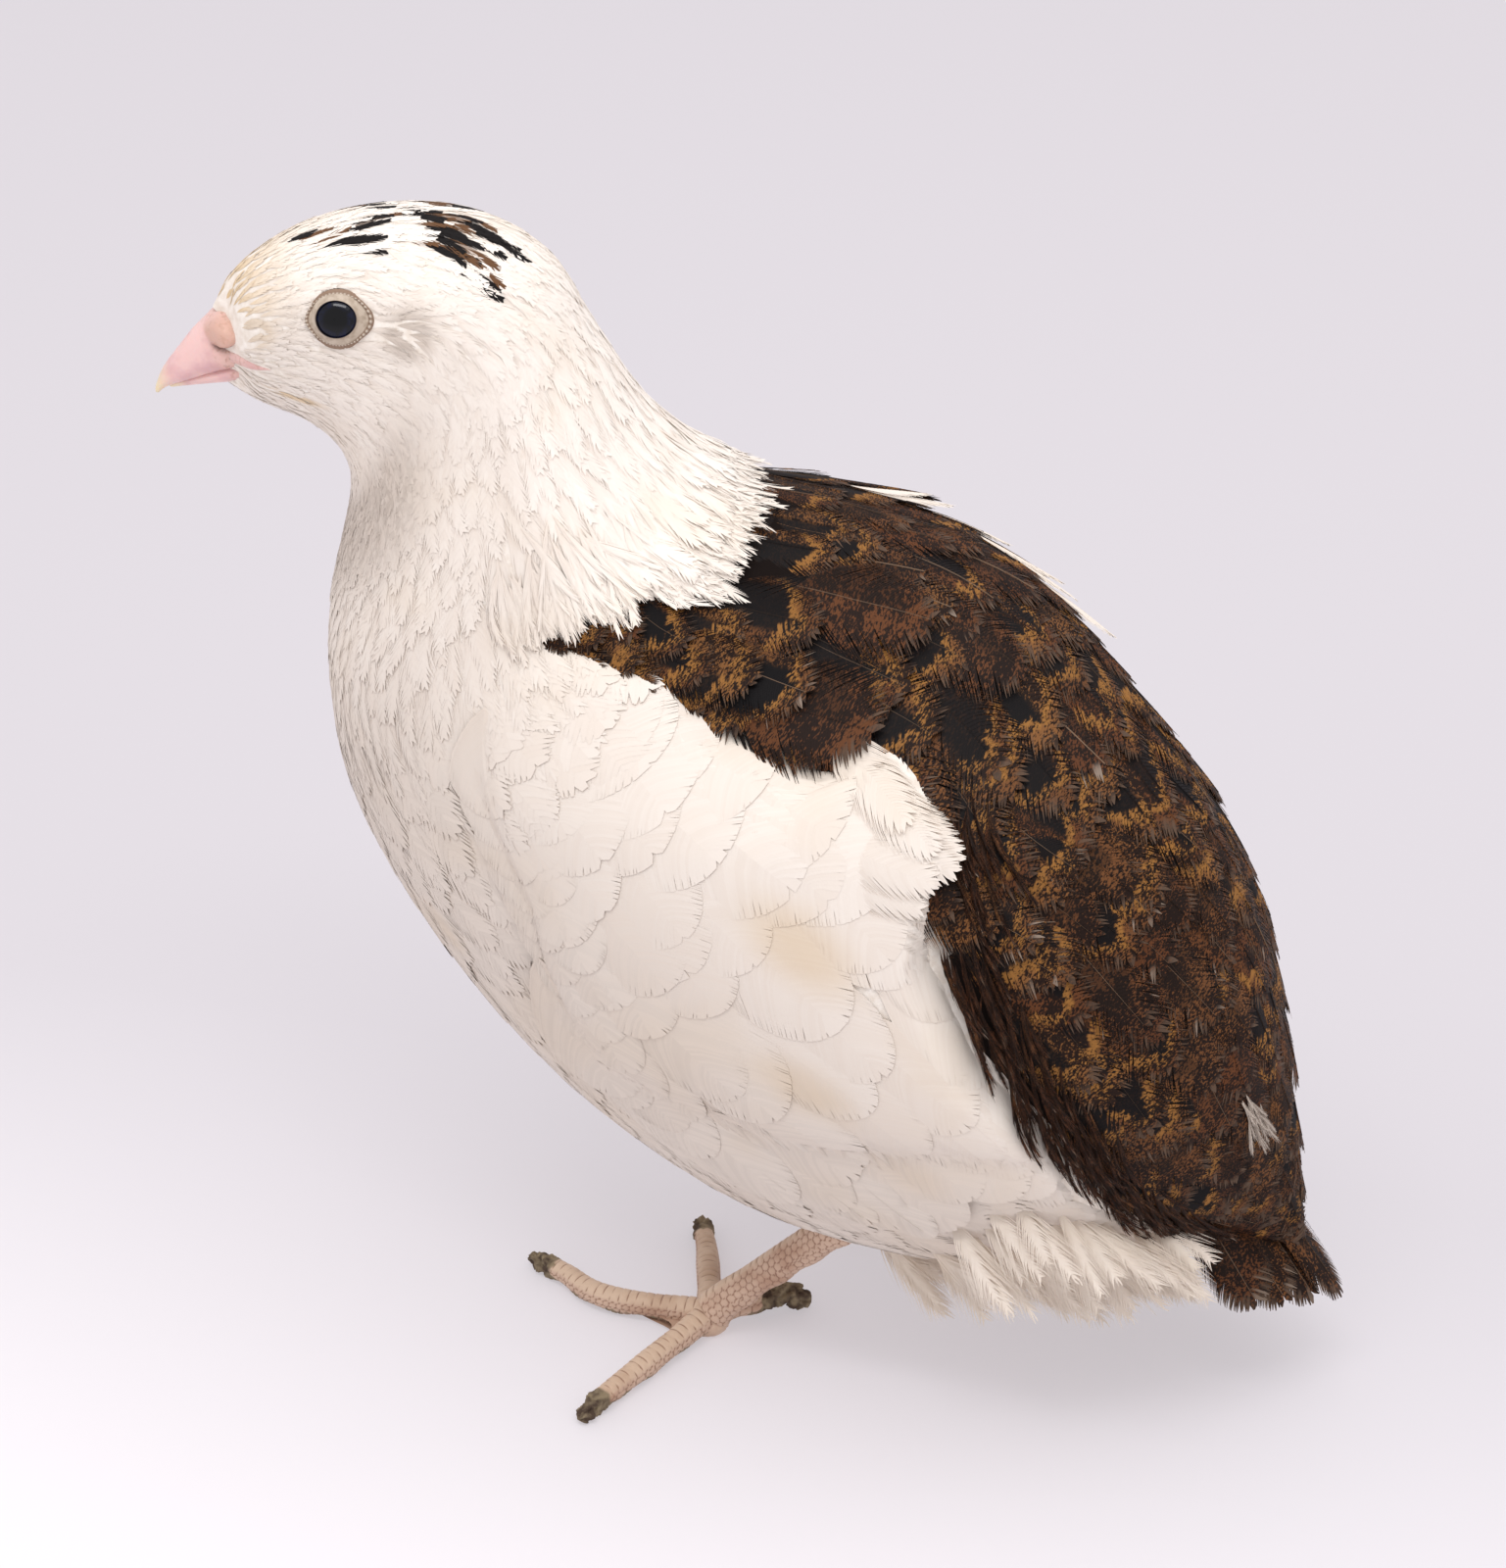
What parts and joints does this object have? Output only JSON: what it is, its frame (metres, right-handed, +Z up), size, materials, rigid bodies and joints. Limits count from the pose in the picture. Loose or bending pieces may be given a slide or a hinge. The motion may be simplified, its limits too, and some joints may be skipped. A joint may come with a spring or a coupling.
{
  "type": "standing quail",
  "caption": "Standing coturnix quail with folded wings: white plumage, a brown mottled back and tail, a pink bill and bare scaled feet.",
  "frame": {"origin": "on the ground under the middle of the bird's bounding box", "axes": "+Z up, -X towards the breast, -Y to the bird's left; the head is turned 22 degrees to the left"},
  "size_m": [0.125, 0.0684, 0.1239],
  "materials": {
    "white_plumage": "soft matt feathers with fine parallel barbs",
    "brown_plumage": "feathers with a slight sheen, black blotches, ochre mottling and paler fringes",
    "bill": "smooth horn, pink with an ivory tip",
    "eye": "wet and glossy, almost black",
    "eyelid": "bare beaded skin",
    "leg_skin": "dry overlapping scales, darker at the claws"
  },
  "bodies": {
    "root": {"white_plumage": "white_plumage", "brown_back": "brown_plumage", "left_wing": "white_plumage", "right_wing": "white_plumage", "tail": "brown_plumage", "upper_bill": "bill", "lower_bill": "bill", "left_eye": "eye", "right_eye": "eye", "left_eyelid": "eyelid", "right_eyelid": "eyelid", "left_leg": "leg_skin", "right_leg": "leg_skin"}
  },
  "joints": []
}
